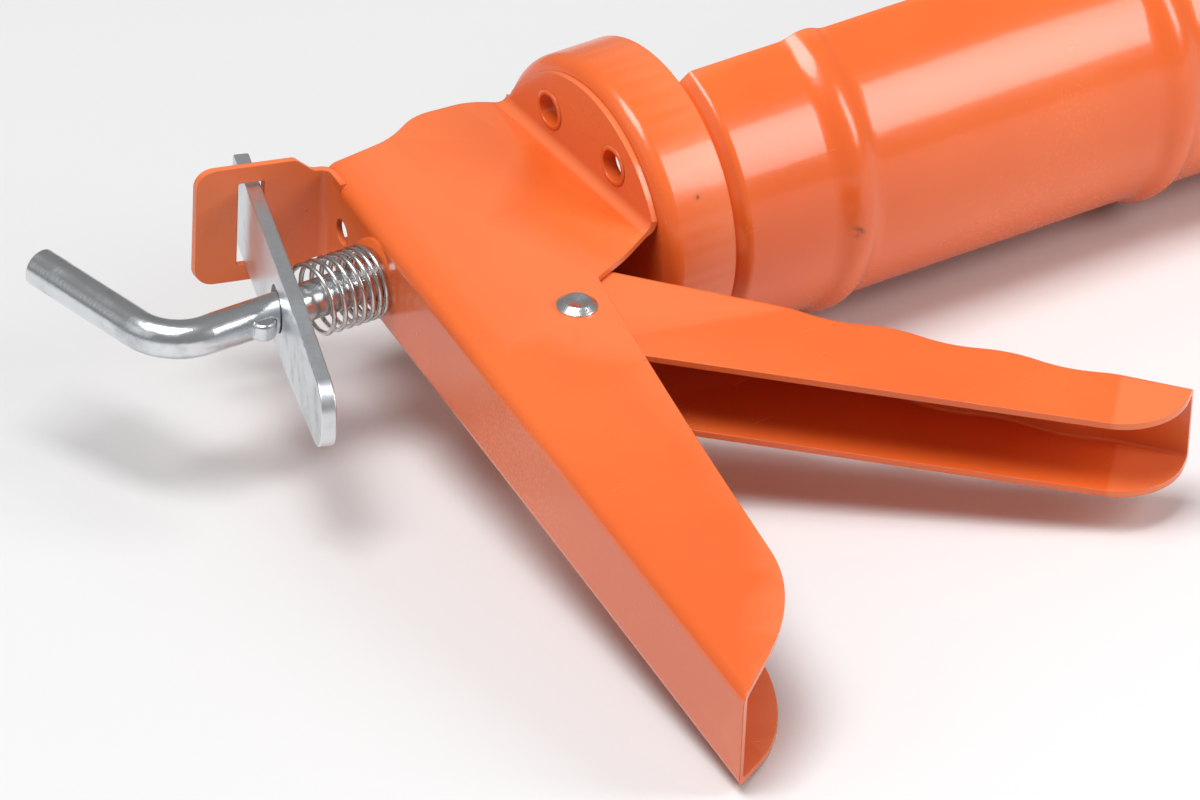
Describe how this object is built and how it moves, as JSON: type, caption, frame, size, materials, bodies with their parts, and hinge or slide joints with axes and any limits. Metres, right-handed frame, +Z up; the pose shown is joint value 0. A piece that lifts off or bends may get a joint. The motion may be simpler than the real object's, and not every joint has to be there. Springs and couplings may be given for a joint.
{
  "type": "caulking gun",
  "caption": "Half-barrel caulking gun with a pressed sheet frame, smooth push rod with pull hook, thumb release plate and squeeze trigger.",
  "frame": {"origin": "centre of the bounding box footprint, on the surface that the gun lies on", "axes": "+X forward along the push rod, +Y towards the open side of the barrel, +Z up, away from the surface, on the gun's right"},
  "size_m": [0.3288, 0.1824, 0.0606],
  "materials": {
    "orange_paint": "gloss",
    "zinc_plate": "bright zinc plate",
    "spring_steel": "drawn wire"
  },
  "bodies": {
    "frame": {"handle_frame": "orange_paint", "rear_cup": "orange_paint", "barrel_shell": "orange_paint", "nose_cap": "orange_paint", "pivot_rivet": "zinc_plate", "pivot_sleeve": "zinc_plate", "eyelet_right_upper": "orange_paint", "eyelet_right_lower": "orange_paint", "eyelet_left_upper": "orange_paint", "eyelet_left_lower": "orange_paint", "lock_spring": "spring_steel", "drive_spring": "spring_steel"},
    "trigger": {"trigger": "orange_paint"},
    "drive_plate": {"drive_plate": "zinc_plate"},
    "plunger": {"plunger_disc": "zinc_plate", "plunger_backing": "zinc_plate", "plunger_washer": "zinc_plate"},
    "push_rod": {"push_rod": "zinc_plate", "plunger_nut": "zinc_plate"},
    "lock_plate": {"lock_plate": "zinc_plate"}
  },
  "joints": [
    {"name": "trigger_pivot", "type": "hinge", "parent": "frame", "child": "trigger", "pos_m": [-0.09355, 0.01902, 0.02567], "axis": [0, 0.1349, -0.9909], "range_deg": [0, 40], "stiffness_Nm_per_rad": 1.2, "springref_deg": -11.46},
    {"name": "drive_slide", "type": "slide", "parent": "frame", "child": "drive_plate", "axis": [1, 0, 0], "range_m": [0, 0.0246], "deforming": ["drive_spring"]},
    {"name": "plunger_slide", "type": "slide", "parent": "frame", "child": "plunger", "axis": [1, 0, 0], "range_m": [-0.2085, 0]},
    {"name": "rod_turn", "type": "hinge", "parent": "plunger", "child": "push_rod", "pos_m": [-0.01075, 0.05449, 0.0305], "axis": [1, 0, 0], "continuous": true},
    {"name": "lock_tilt", "type": "hinge", "parent": "frame", "child": "lock_plate", "pos_m": [-0.12137, 0.08032, 0.03402], "axis": [0, -0.1349, 0.9909], "range_deg": [0, 11], "stiffness_Nm_per_rad": 0.4, "springref_deg": -17.19, "deforming": ["lock_spring"]}
  ],
  "couplings": [
    {"joint": "drive_slide", "follows": "trigger_pivot", "m_per_rad": 0.035094}
  ]
}
